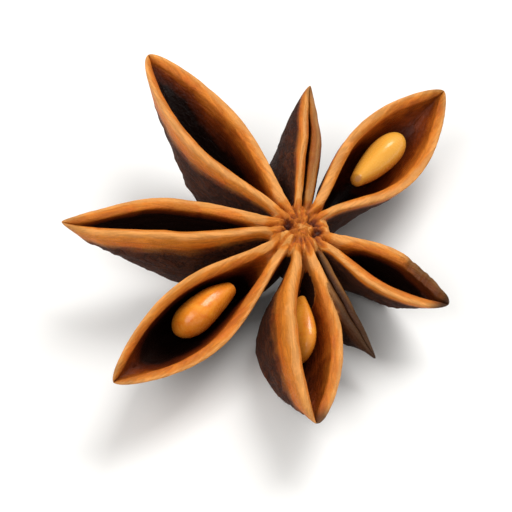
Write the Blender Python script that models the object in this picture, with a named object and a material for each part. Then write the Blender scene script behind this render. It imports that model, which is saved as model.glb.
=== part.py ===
"""A dried star anise pod: eight woody follicles round a short axis, split open on top, three with a seed.

Metres, with +Z up. The pod lies on its keels, and the origin is on the table under the middle of its bounding
box. The driving dimensions below are in millimetres and degrees. A follicle is drawn in its own section: across
it, and up from the plane of its mouth. It is then laid out from the pod's axis, and the pod leans a little.
"""

import math
from dataclasses import dataclass

import bmesh
import bpy
from mathutils import Matrix, Vector

MM = 0.001

# Where the mouths' plane meets the pod's axis, and how the pod leans on the table
HUB = Vector((3.36, 1.29, 6.5))
LEAN = 8.0

# The rim and the walls that every follicle shares
RIM_WIDTH = 0.95
RIM_SLOPE = 0.55
WIDEST_RIM = 0.88
SIDE_WALL = 0.75
KEEL_WALL = 0.95

# The narrow end of a follicle at the pod's axis, and the ends of its beak
START = 0.9
START_HALF_WIDTH = 0.55
START_DEPTH = 5.0
TIP_BLUNTNESS = 0.2
KEEL_BLUNTNESS = 0.1
BLUNT_POWER = 6

# How the sizes run along a follicle, as shares of its length, and the powers that shape their rise and fall
BODY_BEFORE_MOUTH = 0.06
DEEPEST = 0.36
MOUTH_RISE = 1.8
BODY_RISE = 1.6
KEEL_FALL = 1.3
CLEFT_OPENS = 0.06
CLEFT_OPEN = 0.22
ROLLED_OVER = 0.42
BEAK_START = 0.55

# The cavity: its least share of the depth, and its share of the rim where the cleft is still shut
LEAST_CAVITY = 0.5
SHUT_CLEFT = 0.3

# The handles of the section's curves, as shares of its sizes: in the cavity, at the shoulder, at the keel
FLOOR_HANDLE = 0.45
SIDE_HANDLE = 0.4
SIDE_OVER_GAPE = 1.02
SHOULDER_BULGE = 0.35
SHOULDER_DROP = 0.03
KEEL_HANDLE = (0.62, 0.86)

# The turned core, from its top down to the broken end of the stem, as (radius, height)
CORE = (
    (0.0, -0.3), (0.7, -0.12), (1.5, 0.12), (2.15, -0.25), (2.3, -1.2), (2.1, -3.2),
    (1.7, -4.5), (0.95, -5.1), (0.8, -5.9), (0.55, -6.05), (0.0, -5.9),
)

# Faces along and round the pieces. The first three count one half of a follicle's section.
INNER_STEPS = 4
LIP_STEPS = 2
OUTER_STEPS = 6
LENGTH_STEPS = 18
CORE_STEPS = 20
SEED_FINENESS = 3

# Two points closer than this are one
SAME_POINT = 0.0005


@dataclass(frozen=True)
class Follicle:
    """One boat-shaped follicle, from the pod's axis to the point of its beak.

    azimuth, rise and lean are its direction, its slope and the roll of its mouth. mouth and body are half
    widths, and widest is the share of the length where the mouth is widest. sway, hook and bend move its
    middle aside, and its beak up and aside.
    """

    name: str
    azimuth: float
    length: float
    rise: float
    lean: float
    mouth: float
    body: float
    depth: float
    widest: float
    sway: float = 0.0
    hook: float = 0.0
    bend: float = 0.0


@dataclass(frozen=True)
class Seed:
    """One flat, egg-shaped seed on edge in a follicle: how far out, how far aside and how deep it lies."""

    name: str
    follicle: str
    out: float
    aside: float
    sunk: float
    half_thickness: float


FOLLICLES = (
    Follicle("right_upper", 51.6, 18.0, 1.0, 20.0, 3.0, 2.9, 6.8, 0.54, sway=-0.5),
    Follicle("top", 84.0, 13.7, 0.0, 24.0, 0.7, 1.9, 7.0, 0.52, bend=0.045),
    Follicle("left_upper", 127.9, 19.1, 1.0, 6.0, 2.6, 2.7, 7.6, 0.55, sway=0.15),
    Follicle("left", 181.8, 17.9, 0.0, 8.0, 2.0, 2.4, 6.8, 0.52, hook=-0.08),
    Follicle("left_lower", 226.9, 20.0, -6.0, -24.0, 2.85, 2.8, 7.3, 0.57, sway=0.35),
    Follicle("front", 274.0, 17.7, -3.0, -28.0, 2.35, 2.9, 7.2, 0.50, sway=0.6),
    Follicle("front_right", 299.8, 11.6, -10.0, -25.0, 0.6, 1.15, 4.6, 0.50),
    Follicle("right_lower", 330.4, 12.8, 0.0, 14.0, 1.7, 1.9, 6.2, 0.58, sway=0.2),
)

SEEDS = (
    Seed("seed_right_upper", "right_upper", 10.3, 0.05, 1.9, 1.15),
    Seed("seed_left_lower", "left_lower", 9.3, -0.1, 2.4, 1.25),
    Seed("seed_front", "front", 7.7, 0.35, 2.7, 0.9),
)
SEED_HALF_LENGTH = 2.9
SEED_HALF_DEPTH = 1.75
SEED_TAPER = 0.3

WOOD = (0.30, 0.12, 0.035, 1.0)
WOOD_ROUGHNESS = 0.55
SEED_SHELL = (0.62, 0.25, 0.05, 1.0)
SEED_ROUGHNESS = 0.25


def swell(share, start, full, peak, rise, fall, bluntness):
    """A size that grows from start to full at peak, and closes in a point, blunt at its very end."""
    if share < peak:
        return start + (full - start) * math.sin(0.5 * math.pi * share / peak) ** rise
    past = min(1.0, (share - peak) / (1.0 - peak))
    point = max(0.0, math.cos(0.5 * math.pi * past)) ** fall
    blunt = math.sqrt(1.0 - past**BLUNT_POWER)
    return full * ((1.0 - bluntness) * point + bluntness * blunt)


def smooth_step(low, high, value):
    """0 below low, 1 above high, and a smooth ramp between."""
    share = min(1.0, max(0.0, (value - low) / (high - low)))
    return share * share * (3.0 - 2.0 * share)


def bezier(p0, p1, p2, p3, share):
    """A point of a cubic curve in the section's plane, as (across, up)."""
    rest = 1.0 - share
    weights = (rest**3, 3 * rest**2 * share, 3 * rest * share**2, share**3)
    return tuple(sum(w * p[i] for w, p in zip(weights, (p0, p1, p2, p3))) for i in (0, 1))


def half_section(follicle, share, place):
    """(across, up) of one half of the section: place runs from the cavity over the rim to the keel."""
    widest = follicle.widest
    fullest = widest - BODY_BEFORE_MOUTH
    mouth = swell(share, START_HALF_WIDTH, follicle.mouth, widest, MOUTH_RISE, 1.0, TIP_BLUNTNESS)
    body = swell(share, START_HALF_WIDTH, follicle.body, fullest, BODY_RISE, 1.0, TIP_BLUNTNESS)
    depth = swell(share, START_DEPTH, follicle.depth, DEEPEST, 1.0, KEEL_FALL, KEEL_BLUNTNESS)
    rim = min(RIM_WIDTH * math.tanh(mouth / RIM_WIDTH), WIDEST_RIM * mouth)
    gape = mouth - rim
    edge = -RIM_SLOPE * rim
    step = place * (INNER_STEPS + LIP_STEPS + OUTER_STEPS)
    if step <= INNER_STEPS:
        opened = smooth_step(CLEFT_OPENS, CLEFT_OPEN, share)
        cavity = max(LEAST_CAVITY * depth, depth - KEEL_WALL + edge)
        floor = opened * cavity + (1.0 - opened) * SHUT_CLEFT * rim - edge
        side = max(SIDE_OVER_GAPE * gape, body - SIDE_WALL)
        bulge = edge - SIDE_HANDLE * (floor + edge)
        return bezier((0.0, -floor), (FLOOR_HANDLE * side, -floor), (side, bulge), (gape, edge),
                      step / INNER_STEPS)
    if step <= INNER_STEPS + LIP_STEPS:
        over = 0.5 * math.pi * (step - INNER_STEPS) / LIP_STEPS
        return mouth - rim * math.cos(over), edge * (1.0 - math.sin(over))
    shoulder = body + SHOULDER_BULGE * rim
    return bezier((mouth, 0.0), (shoulder, -SHOULDER_DROP * depth),
                  (KEEL_HANDLE[0] * shoulder, -KEEL_HANDLE[1] * depth), (0.0, -depth),
                  (step - INNER_STEPS - LIP_STEPS) / OUTER_STEPS)


def on_follicle(follicle, share, across, up):
    """A point of a follicle's section, placed along its bent and rolled line, seen from the pod's axis."""
    x = START + (follicle.length - START) * share
    roll = math.radians(follicle.lean) * smooth_step(0.0, ROLLED_OVER, share)
    beak = follicle.length * smooth_step(BEAK_START, 1.0, share)
    y = across * math.cos(roll) - up * math.sin(roll)
    y += follicle.sway * math.sin(math.pi * share) + follicle.bend * beak
    z = across * math.sin(roll) + up * math.cos(roll)
    z += x * math.tan(math.radians(follicle.rise)) + follicle.hook * beak
    return Matrix.Rotation(math.radians(follicle.azimuth), 3, "Z") @ Vector((x, y, z))


def on_table(point):
    """A point of the pod's own frame, in millimetres, carried to the table's frame in metres."""
    return (HUB + Matrix.Rotation(math.radians(LEAN), 3, "Y") @ point) * MM


def follicle_solid(follicle):
    """The closed shell of one follicle: a grid rolled round its section, sewn at the keel and the ends."""
    shell = bmesh.new()
    half_steps = INNER_STEPS + LIP_STEPS + OUTER_STEPS
    bmesh.ops.create_grid(shell, x_segments=2 * half_steps, y_segments=LENGTH_STEPS, size=1.0)
    for vert in shell.verts:
        share = 0.5 * (1.0 + vert.co.y)
        across, up = half_section(follicle, share, 1.0 - abs(vert.co.x))
        vert.co = on_table(on_follicle(follicle, share, math.copysign(across, vert.co.x), up))
    return finished(shell, follicle.name)


def core_solid():
    """The turned core of the pod, with the broken stem under it."""
    turned = bmesh.new()
    profile = [turned.verts.new((radius, 0.0, height)) for radius, height in CORE]
    edges = [turned.edges.new(pair) for pair in zip(profile, profile[1:])]
    bmesh.ops.spin(turned, geom=profile + edges, axis=(0.0, 0.0, 1.0), cent=(0.0, 0.0, 0.0),
                   steps=CORE_STEPS, angle=2.0 * math.pi, use_merge=True)
    for vert in turned.verts:
        vert.co = on_table(vert.co)
    return finished(turned, "pod")


def seed_solid(seed):
    """One seed, fatter towards the beak, laid in its follicle."""
    follicle = next(each for each in FOLLICLES if each.name == seed.follicle)
    egg = bmesh.new()
    bmesh.ops.create_icosphere(egg, subdivisions=SEED_FINENESS, radius=1.0)
    for vert in egg.verts:
        x, y, z = vert.co
        taper = 1.0 + SEED_TAPER * x
        across = seed.aside + seed.half_thickness * taper * y
        up = SEED_HALF_DEPTH * taper * z - seed.sunk
        share = (seed.out + SEED_HALF_LENGTH * x - START) / (follicle.length - START)
        vert.co = on_table(on_follicle(follicle, share, across, up))
    return finished(egg, seed.name)


def closed(solid):
    """Fills the holes of a bmesh, and splits the faces that have more than four sides."""
    bmesh.ops.holes_fill(solid, edges=solid.edges)
    bmesh.ops.triangulate(solid, faces=[face for face in solid.faces if len(face.verts) > 4])


def finished(solid, name):
    """The bmesh as a smooth-shaded object, sewn and closed, with its faces turned outwards."""
    bmesh.ops.remove_doubles(solid, verts=solid.verts, dist=SAME_POINT * MM)
    closed(solid)
    bmesh.ops.recalc_face_normals(solid, faces=solid.faces)
    mesh = bpy.data.meshes.new(name)
    solid.to_mesh(mesh)
    solid.free()
    mesh.shade_smooth()
    made = bpy.data.objects.new(name, mesh)
    bpy.context.scene.collection.objects.link(made)
    return made


def material(name, colour, roughness):
    """A plain material of one colour."""
    made = bpy.data.materials.new(name)
    made.use_nodes = True
    shader = made.node_tree.nodes["Principled BSDF"]
    shader.inputs["Base Color"].default_value = colour
    shader.inputs["Roughness"].default_value = roughness
    return made


def join(core, shells):
    """Fuses the follicles' shells to the core, and removes them."""
    cutters = bpy.data.collections.new("follicles")
    for shell in shells:
        cutters.objects.link(shell)
    fuse = core.modifiers.new("fuse", "BOOLEAN")
    fuse.operation = "UNION"
    fuse.operand_type = "COLLECTION"
    fuse.collection = cutters
    fuse.solver = "MANIFOLD"
    fused = bpy.data.meshes.new_from_object(core.evaluated_get(bpy.context.evaluated_depsgraph_get()))
    core.modifiers.clear()
    core.data = fused
    for shell in shells:
        bpy.data.objects.remove(shell)
    bpy.data.collections.remove(cutters)


def flatten_keels(pod):
    """Cuts the keels flat where the pod lies on the table."""
    solid = bmesh.new()
    solid.from_mesh(pod.data)
    everything = solid.verts[:] + solid.edges[:] + solid.faces[:]
    bmesh.ops.bisect_plane(solid, geom=everything, plane_co=(0.0, 0.0, 0.0), plane_no=(0.0, 0.0, 1.0),
                           clear_inner=True)
    closed(solid)
    solid.to_mesh(pod.data)
    solid.free()


def main():
    """Builds the pod and its seeds."""
    for old in list(bpy.data.objects):
        bpy.data.objects.remove(old)
    pod = core_solid()
    join(pod, [follicle_solid(follicle) for follicle in FOLLICLES])
    flatten_keels(pod)
    pod.data.materials.append(material("wood", WOOD, WOOD_ROUGHNESS))
    seed_shell = material("seed_shell", SEED_SHELL, SEED_ROUGHNESS)
    for seed in SEEDS:
        seed_solid(seed).data.materials.append(seed_shell)


main()
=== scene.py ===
"""The looks of a dried star anise pod: its follicles and core in full relief, its seeds, and a small studio.

Sizes are in millimetres and degrees, and become metres where a mesh is placed. The pod's frame has its
origin where the plane of the mouths meets the pod's axis. Stance carries it to the table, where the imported
model lies.
"""

import logging
import math
from dataclasses import dataclass, field
from enum import Enum

import bmesh
import bpy
import numpy as np
from mathutils import Matrix, Vector, noise
from mathutils.kdtree import KDTree


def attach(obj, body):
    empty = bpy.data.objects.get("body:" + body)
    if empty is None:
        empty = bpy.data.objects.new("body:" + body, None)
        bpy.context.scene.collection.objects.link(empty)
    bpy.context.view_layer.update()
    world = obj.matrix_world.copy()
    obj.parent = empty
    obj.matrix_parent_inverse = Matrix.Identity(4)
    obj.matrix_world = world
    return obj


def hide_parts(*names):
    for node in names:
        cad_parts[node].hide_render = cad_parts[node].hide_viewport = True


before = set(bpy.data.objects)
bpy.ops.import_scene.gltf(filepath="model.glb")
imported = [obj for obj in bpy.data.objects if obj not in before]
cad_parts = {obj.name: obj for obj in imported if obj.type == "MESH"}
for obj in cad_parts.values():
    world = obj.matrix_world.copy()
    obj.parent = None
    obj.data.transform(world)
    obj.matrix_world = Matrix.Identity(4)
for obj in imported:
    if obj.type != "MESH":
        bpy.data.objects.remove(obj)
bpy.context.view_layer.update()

MM = 0.001
LOG = logging.getLogger("star_anise")
GRAIN_INPUTS = ("Length", "Width", "Speck Size")
GRAIN_OUTPUTS = ("Fibre", "Blotch", "Speck", "Crack")

Colour = tuple[int, int, int]
Point = tuple[float, float]
Triple = tuple[float, float, float]


class Trait(Enum):
    """What the finishes read off a mesh, each a point attribute of this name."""

    FLOW = "flow"
    CREST = "crest"
    # The husk's brightness: partly its weathering, partly painted shade on walls that lie in shadow.
    FRESH_AND_LIT = "fresh_and_lit"
    RIDGE = "ridge"
    SCAR = "scar"
    RIPE = "ripe"


class Side(Enum):
    """The two walls of a follicle, seen from the pod's axis towards the beak."""

    LEFT = 1.0
    RIGHT = -1.0


def smooth_step(low: float, high: float, value: float) -> float:
    """A smooth ramp from 0 at low to 1 at high."""
    share = min(1.0, max(0.0, (value - low) / (high - low)))
    return share * share * (3.0 - 2.0 * share)


def stretched(place: Vector, scale: Triple) -> Vector:
    """A place with each axis multiplied by its own factor, to draw a pattern out."""
    return Vector([factor * value for factor, value in zip(scale, place)])


def swell(share: float, start: float, full: float, peak: float, rise: float, fall: float,
          bluntness: float, power: float) -> float:
    """A size along a follicle that grows to its peak and closes in a point.

    Args:
        share: how far along the follicle, from 0 to 1.
        start: the size at the pod's axis.
        full: the size at the peak.
        peak: the share of the length where the peak is.
        rise: the power that shapes the growth.
        fall: the power that shapes the point.
        bluntness: the share of the size that stays to the very end.
        power: how late that share closes.

    Returns:
        The size, in the units of start and full.
    """
    if share < peak:
        return start + (full - start) * math.sin(0.5 * math.pi * share / peak) ** rise
    past = min(1.0, (share - peak) / (1.0 - peak))
    point = max(0.0, math.cos(0.5 * math.pi * past)) ** fall
    blunt = math.sqrt(1.0 - past**power)
    return full * ((1.0 - bluntness) * point + bluntness * blunt)


def bezier(p0: Point, p1: Point, p2: Point, p3: Point, share: float) -> Point:
    """A point of a cubic curve in a section's plane.

    Args:
        p0: where the curve starts.
        p1: what it starts towards.
        p2: what it arrives from.
        p3: where it ends.
        share: how far along the curve, from 0 to 1.

    Returns:
        The point as (across, up).
    """
    rest = 1.0 - share
    weights = (rest**3, 3 * rest**2 * share, 3 * rest * share**2, share**3)
    return tuple(sum(w * p[i] for w, p in zip(weights, (p0, p1, p2, p3))) for i in (0, 1))


@dataclass(frozen=True)
class Stance:
    """How the pod lies: where its hub is over the table, and how far its axis leans."""

    hub: Triple = (3.36, 1.29, 6.5)
    lean: float = 8.0

    def on_table(self, point: Vector) -> Vector:
        """A point of the pod's frame, in millimetres, on the table, in metres."""
        return (Vector(self.hub) + Matrix.Rotation(math.radians(self.lean), 3, "Y") @ Vector(point)) * MM


@dataclass(frozen=True)
class Husk:
    """The rim, the walls and the growth that every follicle shares.

    The handles and the shoulder shape the curves of the section. slit_opens and slit_open are how far from
    the pod's axis the painted shade of the slit begins and is full. body_before_mouth, deepest, cleft_opens,
    cleft_open, rolled_over and beak_start are shares of the length. torn_stump is what a tear leaves of the
    rim's height, and band_width and band_edge are how wide the bright band outside the rim is and how sharply
    it ends.
    """

    rim_width: float = 0.8
    rim_slope: float = 0.55
    widest_rim: float = 0.88
    side_wall: float = 0.75
    keel_wall: float = 0.95
    inmost: float = 0.2
    start: float = 0.9
    start_half_width: float = 0.55
    start_depth: float = 5.0
    slit_opens: float = 2.0
    slit_open: float = 4.2
    keel_bluntness: float = 0.1
    blunt_power: float = 6.0
    body_before_mouth: float = 0.06
    deepest: float = 0.36
    mouth_rise: float = 1.8
    body_rise: float = 1.6
    keel_fall: float = 1.3
    cleft_opens: float = 0.06
    cleft_open: float = 0.22
    rolled_over: float = 0.42
    beak_start: float = 0.55
    least_cavity: float = 0.5
    shut_cleft: float = 0.3
    floor_handle: float = 0.45
    side_handle: float = 0.4
    side_over_gape: float = 1.02
    shoulder_bulge: float = 0.35
    shoulder_drop: float = 0.03
    keel_handle: Point = (0.62, 0.86)
    torn_stump: float = 0.15
    band_width: float = 0.85
    band_edge: float = 1.3


@dataclass(frozen=True)
class Weather:
    """The relief that drying leaves on the husk, as heights over the plain walls.

    outside and inside are the distances from the crest over which each wall's relief grows. Each scale is how
    often a pattern turns in a millimetre, along, across and up the follicle where it is three. swell_apart is
    how far apart two follicles and two walls lie in the pattern of the rims. settles, fades and calm_tip are
    shares of the length.
    """

    wrinkle: float = 0.15
    crease: float = 0.09
    pimple: float = 0.018
    rib: float = 0.03
    rim_wave: float = 0.08
    rim_swell: float = 0.13
    outside: Point = (0.5, 2.3)
    inside: Point = (0.4, 1.4)
    fold_scale: Triple = (0.28, 0.75, 0.55)
    fold_detail: tuple[float, float, int] = (0.9, 2.1, 4)
    crack_scale: Triple = (0.36, 0.9, 1.1)
    crack_slant: float = 0.3
    crack_apart: float = 40.0
    crack_sharpness: float = 2.6
    pimple_scale: Triple = (1.9, 2.4, 2.4)
    pimple_loss: float = 0.8
    rib_scale: Triple = (0.22, 1.6, 1.6)
    swell_scale: float = 0.35
    swell_apart: Point = (6.0, 3.0)
    wave_scale: float = 1.9
    settles: Point = (0.1, 0.3)
    fades: Point = (0.85, 1.0)
    calm_tip: Point = (0.88, 1.0)

    def height(self, flow: Vector, crest: float) -> float:
        """The height of the relief at one point of the husk.

        Args:
            flow: the point along, across and up its follicle.
            crest: its distance from the rim's crest over the surface, inwards negative.

        Returns:
            The height along the surface's normal, in millimetres.
        """
        outer = smooth_step(*self.outside, crest)
        inner = smooth_step(*self.inside, -crest)
        along, across, up = flow
        folds = noise.fractal(stretched(flow, self.fold_scale), *self.fold_detail)
        x, y, z = self.crack_scale
        slanted = Vector((x * along + self.crack_slant * up, y * across, z * up + self.crack_apart))
        creased = 1.0 - self.crack_sharpness * abs(noise.noise(slanted))
        pimpled = noise.noise(stretched(flow, self.pimple_scale))
        ribbed = noise.noise(stretched(flow, self.rib_scale))
        return (outer * (self.wrinkle * folds + self.crease * creased)
                + (1.0 - self.pimple_loss * inner) * self.pimple * pimpled + inner * self.rib * ribbed)


@dataclass(frozen=True)
class Fineness:
    """The faces of a follicle: up the cavity, over the rim and down the outside of one half, and along it."""

    inner: int = 13
    rim: int = 8
    outer: int = 17
    along: int = 92
    crowding: float = 1.35

    @property
    def half(self) -> int:
        """The faces round one half of the section."""
        return self.inner + self.rim + self.outer


@dataclass(frozen=True)
class Tear:
    """A stretch of one wall whose rim is broken away: the shares of the length it spans, and its depth.

    Each row of jags is how often they come along the length, the row of the pattern and their strength.
    """

    side: Side
    start: float
    end: float
    depth: float
    ramp: float = 0.09
    jags: tuple[Triple, ...] = ((17.0, 3.0, 1.0), (41.0, 7.0, 0.6))
    mean_depth: float = 0.9
    least_depth: float = 0.1
    raggedness: float = 0.4

    def at(self, share: float, side: Side) -> float:
        """How far the rim of a wall is broken away.

        Args:
            share: how far along the follicle, from 0 to 1.
            side: the wall that is asked for.

        Returns:
            The depth that is missing, in millimetres.
        """
        if side is not self.side or not self.start < share < self.end:
            return 0.0
        window = smooth_step(self.start, self.start + self.ramp, share)
        window *= 1.0 - smooth_step(self.end - self.ramp, self.end, share)
        jagged = sum(strength * noise.noise(Vector((often * share, row, 0.0)))
                     for often, row, strength in self.jags)
        return self.depth * window * max(self.least_depth, self.mean_depth + self.raggedness * jagged)


@dataclass(frozen=True)
class WearAndShade:
    """How a follicle's colour fades by a tear, at a dark beak and off a pale seam, and its slot's painted
    shade.

    torn_reach is how far beside a tear its dullness goes. dark_beak, seam_end, slot_from and bands_full are
    shares of the length. bands_narrow is how much narrower the outer bands are at the axis, and how much of
    that is lost further out.
    """

    torn_strength: float = 1.6
    torn_loss: float = 0.8
    torn_reach: Point = (0.8, 2.0)
    dark_beak: Point = (0.86, 0.97)
    seam_width: float = 0.3
    seam_end: Point = (0.3, 0.8)
    slot_from: Point = (0.6, 0.95)
    bands_narrow: Point = (1.9, 0.9)
    bands_full: float = 0.5


@dataclass(frozen=True)
class Follicle:
    """One boat-shaped follicle, from the pod's axis to the point of its beak.

    azimuth, rise and lean are its direction, its slope and the roll of its mouth. mouth and body are half
    widths, and widest is the share of the length where the mouth is widest. sway, hook and bend move its
    middle aside, and its beak up and aside. blunt is the share of its width that stays to the very tip. glow
    stretches the bright band inside the rims, painted light down the inner wall, shade is how fast painted
    shade darkens the cavity past the rim, slot how much faster towards the beak, and seam how pale the crest
    of a dull follicle stays. Each pair is for the left and the right wall: fresh is how bright it is, partly
    by its weathering and partly by painted shade where the wall lies in shadow, tip_dark how dark its beak,
    and bands stretches the bright band outside its rim.
    """

    name: str
    azimuth: float
    length: float
    rise: float
    lean: float
    mouth: float
    body: float
    depth: float
    widest: float
    sway: float = 0.0
    hook: float = 0.0
    bend: float = 0.0
    blunt: float = 0.2
    fresh_and_lit: tuple[float, float] = (1.0, 1.0)
    tip_dark: tuple[float, float] = (0.3, 0.3)
    glow: float = 1.0
    shade: float = 1.0
    slot: float = 0.0
    seam: float = 0.0
    bands: tuple[float, float] = (1.0, 1.0)
    tear: Tear | None = None
    husk: Husk = field(default_factory=Husk)
    weather: Weather = field(default_factory=Weather)
    wear_and_shade: WearAndShade = field(default_factory=WearAndShade)
    fineness: Fineness = field(default_factory=Fineness)
    turn_of_flow: float = 50.0

    def share_of(self, row: int) -> float:
        """The share of the length at a row of faces, with the rows crowding towards the beak."""
        begin = (self.husk.inmost - self.husk.start) / (self.length - self.husk.start)
        return begin + (1.0 - begin) * (1.0 - (1.0 - row / self.fineness.along) ** self.fineness.crowding)

    def torn_at(self, share: float, side: Side) -> float:
        """How far the rim of one wall is broken away at a share of the length."""
        return self.tear.at(share, side) if self.tear else 0.0

    def half_section(self, share: float, side: Side, number: int) -> list[Point]:
        """One half of the section, from the cavity's floor over the rim to the keel.

        Args:
            share: how far along the follicle, from 0 to 1.
            side: the wall that the half belongs to.
            number: the follicle's number, which sets how its rim waves.

        Returns:
            Points as (across, up), one more than the half has faces.
        """
        husk, weather, fine = self.husk, self.weather, self.fineness
        grown = max(0.0, share)
        fullest = self.widest - husk.body_before_mouth
        mouth = swell(grown, husk.start_half_width, self.mouth, self.widest, husk.mouth_rise, 1.0,
                      self.blunt, husk.blunt_power)
        body = swell(grown, husk.start_half_width, self.body, fullest, husk.body_rise, 1.0,
                     self.blunt, husk.blunt_power)
        depth = swell(grown, husk.start_depth, self.depth, husk.deepest, 1.0, husk.keel_fall,
                      husk.keel_bluntness, husk.blunt_power)
        apart, aside = weather.swell_apart
        spot = Vector((weather.swell_scale * share * self.length, apart * number, aside * side.value))
        swollen = husk.rim_width * (1.0 + weather.rim_swell * noise.noise(spot))
        rim = min(swollen * math.tanh(mouth / husk.rim_width), husk.widest_rim * mouth)
        settled = smooth_step(*weather.settles, share) * (1.0 - smooth_step(*weather.fades, share))
        crest = weather.rim_wave * noise.noise(weather.wave_scale * spot) * settled
        gape = mouth - rim
        edge = -husk.rim_slope * rim
        opened = smooth_step(husk.cleft_opens, husk.cleft_open, share)
        cavity = max(husk.least_cavity * depth, depth - husk.keel_wall + edge)
        floor = opened * cavity + (1.0 - opened) * husk.shut_cleft * rim - edge
        inner_side = max(husk.side_over_gape * gape, body - husk.side_wall)
        bulge = edge - husk.side_handle * (floor + edge)
        shoulder = body + husk.shoulder_bulge * rim
        points = [bezier((0.0, -floor), (husk.floor_handle * inner_side, -floor), (inner_side, bulge),
                         (gape, edge + crest), step / fine.inner) for step in range(fine.inner)]
        for step in range(fine.rim):
            over = 0.5 * math.pi * step / fine.rim
            points.append((mouth - rim * math.cos(over), edge * (1.0 - math.sin(over)) + crest))
        points += [bezier((mouth, crest), (shoulder, -husk.shoulder_drop * depth),
                          (husk.keel_handle[0] * shoulder, -husk.keel_handle[1] * depth), (0.0, -depth),
                          step / fine.outer) for step in range(fine.outer + 1)]
        broken = -self.torn_at(share, side)
        return [(across, broken + husk.torn_stump * (up - broken)) if broken and up > broken else (across, up)
                for across, up in points]

    def place(self, share: float, across: float, up: float) -> Vector:
        """Puts a point of the section on the follicle's bent and rolled line.

        Args:
            share: how far along the follicle, from 0 to 1.
            across: how far aside in the section, to the left.
            up: how far up in the section.

        Returns:
            The point in the pod's frame.
        """
        husk = self.husk
        x = husk.start + (self.length - husk.start) * share
        roll = math.radians(self.lean) * smooth_step(0.0, husk.rolled_over, share)
        beak = self.length * smooth_step(husk.beak_start, 1.0, share)
        y = across * math.cos(roll) - up * math.sin(roll)
        y += self.sway * math.sin(math.pi * share) + self.bend * beak
        z = across * math.sin(roll) + up * math.cos(roll)
        z += x * math.tan(math.radians(self.rise)) + self.hook * beak
        return Matrix.Rotation(math.radians(self.azimuth), 3, "Z") @ Vector((x, y, z))

    def shell(self, number: int) -> bmesh.types.BMesh:
        """The closed shell of the follicle in the pod's frame, with its relief and its traits.

        Args:
            number: the follicle's number, which keeps its patterns apart from the others'.

        Returns:
            A bmesh in millimetres with the layers flow, crest and fresh.
        """
        fine = self.fineness
        shell = bmesh.new()
        bmesh.ops.create_grid(shell, x_segments=2 * fine.half, y_segments=fine.along, size=1.0)
        flow = shell.verts.layers.float_vector.new(Trait.FLOW.value)
        crest = shell.verts.layers.float.new(Trait.CREST.value)
        fresh_and_lit = shell.verts.layers.float.new(Trait.FRESH_AND_LIT.value)
        halves: dict[tuple[int, Side], tuple[list[Point], list[float]]] = {}
        for row in range(fine.along + 1):
            for side in Side:
                points = self.half_section(self.share_of(row), side, number)
                halves[row, side] = points, self.from_crest(points)
        for vert in shell.verts:
            row = round(0.5 * (1.0 + vert.co.y) * fine.along)
            step = round((1.0 - abs(vert.co.x)) * fine.half)
            side = Side.LEFT if vert.co.x > 0.0 else Side.RIGHT
            share = self.share_of(row)
            points, distances = halves[row, side]
            across, up = side.value * points[step][0], points[step][1]
            vert.co = self.place(share, across, up)
            vert[flow] = Vector((share * self.length + self.turn_of_flow * (number + 0.5), across, up))
            vert[crest] = distances[step]
            vert[fresh_and_lit] = self.kept(share, side, distances[step])
        sewn(shell)
        shell.normal_update()
        for vert in shell.verts:
            out = (vert[flow].x % self.turn_of_flow) - 0.5 * self.turn_of_flow
            beak = smooth_step(*self.weather.calm_tip, out / self.length)
            vert.co += (1.0 - beak) * self.weather.height(vert[flow], vert[crest]) * vert.normal
            vert[crest] = self.shown(vert[crest], out, Side.LEFT if vert[flow].y > 0.0 else Side.RIGHT)
        return shell

    def kept(self, share: float, side: Side, distance: float) -> float:
        """How bright a point is, by its wall, the tear and the dark beak; a wall's share is partly
        weathering, partly painted shade.

        Args:
            share: how far along the follicle, from 0 to 1.
            side: the wall that the point is on.
            distance: how far it is from the rim's crest, inwards negative.

        Returns:
            The brightness, from 0 to 1.
        """
        wear_and_shade = self.wear_and_shade
        near = 1.0 - smooth_step(*wear_and_shade.torn_reach, abs(distance))
        torn = min(1.0, wear_and_shade.torn_strength * self.torn_at(share, side)) * near
        beak = self.tip_dark[side is Side.RIGHT] * smooth_step(*wear_and_shade.dark_beak, share)
        pale = math.exp(-((distance / wear_and_shade.seam_width) ** 2))
        seam = self.seam * pale * (1.0 - smooth_step(*wear_and_shade.seam_end, share))
        return max(seam, self.fresh_and_lit[side is Side.RIGHT] * (1.0 - wear_and_shade.torn_loss * torn) * (1.0 - beak))

    def shown(self, distance: float, out: float, side: Side) -> float:
        """The distance that sets a point's colour, by the follicle's own bands and the painted shade in its
        cavity.

        Args:
            distance: the real distance over the surface, inwards negative.
            out: how far the point is from the pod's axis.
            side: the wall that the point is on.

        Returns:
            The distance, stretched or shortened.
        """
        if distance < 0.0:
            # Inside the rim glow stretches the painted light of the bright band, shade speeds the painted
            # shade past the rim, slot speeds it towards the beak, and near the axis there is none.
            inside = distance + (self.shade - 1.0) * min(0.0, distance + self.husk.rim_width)
            inside *= 1.0 + self.slot * smooth_step(*self.wear_and_shade.slot_from, out / self.length)
            return inside / self.glow * smooth_step(self.husk.slit_opens, self.husk.slit_open, out)
        most, loss = self.wear_and_shade.bands_narrow
        narrower = most - loss * smooth_step(self.husk.slit_opens, self.wear_and_shade.bands_full * self.length, out)
        outside = distance / self.bands[side is Side.RIGHT] * narrower
        return outside + self.husk.band_edge * max(0.0, outside - self.husk.band_width)

    def from_crest(self, points: list[Point]) -> list[float]:
        """Measures a half section over its surface.

        Args:
            points: the half section, from the cavity's floor to the keel.

        Returns:
            Each point's distance from the rim's crest, inwards negative.
        """
        steps = [math.dist(a, b) for a, b in zip(points, points[1:])]
        travelled = [0.0]
        for step in steps:
            travelled.append(travelled[-1] + step)
        crest = travelled[self.fineness.inner + self.fineness.rim]
        return [distance - crest for distance in travelled]


@dataclass(frozen=True)
class Pit:
    """A small round hollow in the hub: its place in the pod's frame, its radius and its depth."""

    x: float
    y: float
    radius: float
    depth: float


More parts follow.
